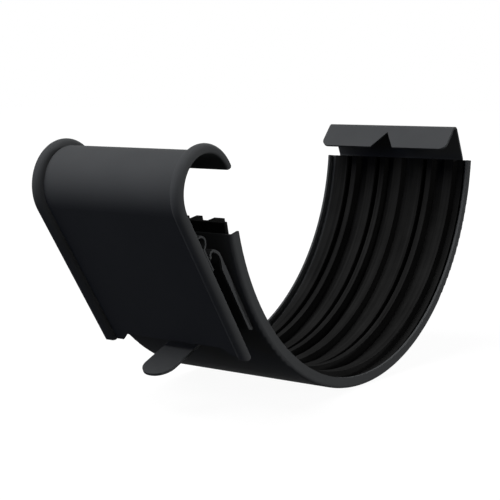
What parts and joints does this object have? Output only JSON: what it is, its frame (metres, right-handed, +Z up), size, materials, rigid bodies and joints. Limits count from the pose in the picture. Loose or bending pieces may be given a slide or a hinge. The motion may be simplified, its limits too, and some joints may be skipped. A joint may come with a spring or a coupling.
{
  "type": "gutter union",
  "caption": "Half-round gutter union: a lipped steel band with a ribbed rubber gasket, a back tab, and a hinged lock plate whose hook closes over the gutter's front bead.",
  "frame": {"origin": "on the axis of the half-round band, half way along the union", "axes": "+X along the gutter, -Y to the front with the bead hook, +Y to the back tab at the wall, +Z up"},
  "size_m": [0.053, 0.1492, 0.0723],
  "materials": {
    "band": "satin",
    "gasket": "matte",
    "lock_plate": "satin",
    "hinge_bracket": "satin",
    "tension_strap": "satin"
  },
  "bodies": {
    "clip": {"band": "band", "gasket": "gasket", "tension_strap": "tension_strap"},
    "lock": {"lock_plate": "lock_plate", "hinge_bracket": "hinge_bracket"}
  },
  "joints": [
    {"name": "lock_swing", "type": "hinge", "parent": "clip", "child": "lock", "pos_m": [0, -0.06878, -0.0221], "axis": [-1, 0, 0], "range_deg": [0, 40]}
  ]
}
